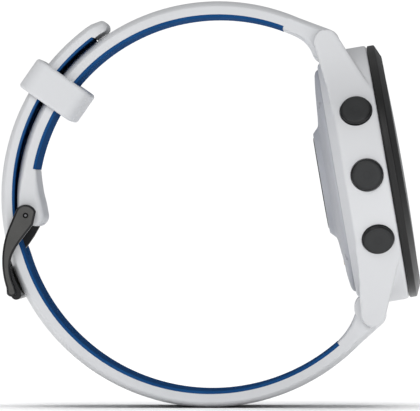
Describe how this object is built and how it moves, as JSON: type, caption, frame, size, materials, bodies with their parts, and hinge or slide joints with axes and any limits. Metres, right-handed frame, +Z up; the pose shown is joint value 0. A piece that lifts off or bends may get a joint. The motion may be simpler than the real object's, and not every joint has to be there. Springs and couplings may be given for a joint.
{
  "type": "gps running watch",
  "caption": "Round sports watch with side push-buttons and dark bezel, on a two-tone silicone strap closed in a standing loop with keeper and pin buckle.",
  "frame": {"origin": "under the middle of the closed watch, at the height of the lowest point of the strap loop", "axes": "+X the way the display faces, leaning back 9.8 degrees; +Y across the strap, away from the side with three buttons; +Z up, towards the display's 12 o'clock"},
  "size_m": [0.0749, 0.0468, 0.0725],
  "materials": {
    "case_polymer": "satin fibre-reinforced polymer",
    "bezel_metal": "brushed steel with a dark hard coating",
    "lens_glass": "polished glass",
    "seal_rubber": "matte",
    "display": "dark display, switched off",
    "chassis_polymer": "matte",
    "board": "solder mask",
    "shield_steel": "satin",
    "contact_gold": "gold plated",
    "battery_foil": "foil pouch",
    "flex_film": "polyimide film",
    "window_glass": "dark polished glass",
    "led": "clear resin",
    "photodiode": "dark resin",
    "button_metal": "dark hard coating",
    "spring_steel": "drawn wire",
    "screw_steel": "dark steel",
    "bar_steel": "satin",
    "strap_light": "matte silicone",
    "liner_blue": "matte silicone",
    "badge": "dark coating",
    "buckle_metal": "bead-blasted steel with a dark coating"
  },
  "bodies": {
    "case": {"case_body": "case_polymer", "bezel": "bezel_metal", "lens": "lens_glass", "lens_seal": "seal_rubber", "display_panel": "display", "chassis": "chassis_polymer", "main_board": "board", "board_shields": "shield_steel", "antenna_contacts": "contact_gold", "battery": "battery_foil", "vibration_motor": "shield_steel", "beeper": "contact_gold", "switch_flex": "flex_film", "tact_switches": "shield_steel", "button_seals": "seal_rubber", "case_seal": "seal_rubber", "rear_cover": "case_polymer", "sensor_window": "window_glass", "sensor_board": "board", "sensor_leds": "led", "photodiodes": "photodiode", "light_barrier": "chassis_polymer", "charge_contacts": "contact_gold", "rear_screws": "screw_steel", "light_spring": "spring_steel", "up_spring": "spring_steel", "down_spring": "spring_steel", "start_spring": "spring_steel", "lap_spring": "spring_steel"},
    "light_key": {"light_button": "button_metal", "light_clip": "spring_steel"},
    "up_key": {"up_button": "button_metal", "up_clip": "spring_steel"},
    "down_key": {"down_button": "button_metal", "down_clip": "spring_steel"},
    "start_key": {"start_button": "button_metal", "start_clip": "spring_steel"},
    "lap_key": {"lap_button": "button_metal", "lap_clip": "spring_steel"},
    "upper_root": {"upper_strap_root": "strap_light", "upper_lug_bar": "bar_steel", "upper_bar_spring": "spring_steel"},
    "upper_release": {"upper_release_pin": "bar_steel"},
    "upper_band": {"upper_strap": "strap_light", "upper_strap_liner": "liner_blue", "buckle_pin": "bar_steel"},
    "lower_root": {"lower_strap_root": "strap_light", "lower_lug_bar": "bar_steel", "lower_bar_spring": "spring_steel"},
    "lower_release": {"lower_release_pin": "bar_steel"},
    "lower_band": {"lower_strap": "strap_light", "lower_strap_liner": "liner_blue", "strap_badge": "badge"},
    "keeper": {"keeper": "strap_light"},
    "buckle": {"buckle_frame": "buckle_metal"},
    "tongue": {"buckle_tongue": "buckle_metal"}
  },
  "joints": [
    {"name": "light_press", "type": "slide", "parent": "case", "child": "light_key", "axis": [0.0851, 0.866, -0.4927], "range_m": [0, 0.0005], "stiffness_N_per_m": 1500, "springref_m": -0.0012, "deforming": ["light_spring"]},
    {"name": "up_press", "type": "slide", "parent": "case", "child": "up_key", "axis": [0, 1, 0], "range_m": [0, 0.0005], "stiffness_N_per_m": 1500, "springref_m": -0.0012, "deforming": ["up_spring"]},
    {"name": "down_press", "type": "slide", "parent": "case", "child": "down_key", "axis": [-0.0851, 0.866, 0.4927], "range_m": [0, 0.0005], "stiffness_N_per_m": 1500, "springref_m": -0.0012, "deforming": ["down_spring"]},
    {"name": "start_press", "type": "slide", "parent": "case", "child": "start_key", "axis": [0.0851, -0.866, -0.4927], "range_m": [0, 0.0005], "stiffness_N_per_m": 1500, "springref_m": -0.0012, "deforming": ["start_spring"]},
    {"name": "lap_press", "type": "slide", "parent": "case", "child": "lap_key", "axis": [-0.0851, -0.866, 0.4927], "range_m": [0, 0.0005], "stiffness_N_per_m": 1500, "springref_m": -0.0012, "deforming": ["lap_spring"]},
    {"name": "upper_lug_hinge", "type": "hinge", "parent": "case", "child": "upper_root", "pos_m": [0.02061, 0, 0.06512], "axis": [0, 1, 0], "range_deg": [-8, 8], "stiffness_Nm_per_rad": 0.5},
    {"name": "upper_strap_flex", "type": "hinge", "parent": "upper_root", "child": "upper_band", "pos_m": [0.01567, 0, 0.06792], "axis": [0, 1, 0], "range_deg": [-7, 7]},
    {"name": "lower_lug_hinge", "type": "hinge", "parent": "case", "child": "lower_root", "pos_m": [0.02899, 0, 0.01663], "axis": [0, 1, 0], "range_deg": [-8.4, 8.4]},
    {"name": "lower_strap_flex", "type": "hinge", "parent": "lower_root", "child": "lower_band", "pos_m": [0.02549, 0, 0.0122], "axis": [0, 1, 0], "range_deg": [-7.4, 7.4]},
    {"name": "keeper_slide", "type": "hinge", "parent": "upper_band", "child": "keeper", "pos_m": [0.00135, 0, 0.0365], "axis": [0, 1, 0], "range_deg": [-6, 6]},
    {"name": "buckle_swing", "type": "hinge", "parent": "upper_band", "child": "buckle", "pos_m": [-0.03292, 0, 0.03424], "axis": [0, 1, 0], "range_deg": [0, 4]},
    {"name": "tongue_swing", "type": "hinge", "parent": "upper_band", "child": "tongue", "pos_m": [-0.03292, 0, 0.03424], "axis": [0, 1, 0], "range_deg": [0, 4]},
    {"name": "upper_release_slide", "type": "slide", "parent": "upper_root", "child": "upper_release", "axis": [0, -1, 0], "range_m": [0, 0.0011], "stiffness_N_per_m": 400, "springref_m": -0.0015, "deforming": ["upper_bar_spring"]},
    {"name": "lower_release_slide", "type": "slide", "parent": "lower_root", "child": "lower_release", "axis": [0, -1, 0], "range_m": [0, 0.0011], "stiffness_N_per_m": 400, "springref_m": -0.0015, "deforming": ["lower_bar_spring"]}
  ],
  "couplings": [
    {"joint": "upper_strap_flex", "follows": "upper_lug_hinge", "ratio": -0.86704},
    {"joint": "lower_lug_hinge", "follows": "upper_lug_hinge", "ratio": 1.0401},
    {"joint": "lower_strap_flex", "follows": "upper_lug_hinge", "ratio": -0.9072},
    {"joint": "tongue_swing", "follows": "buckle_swing", "ratio": 1}
  ]
}
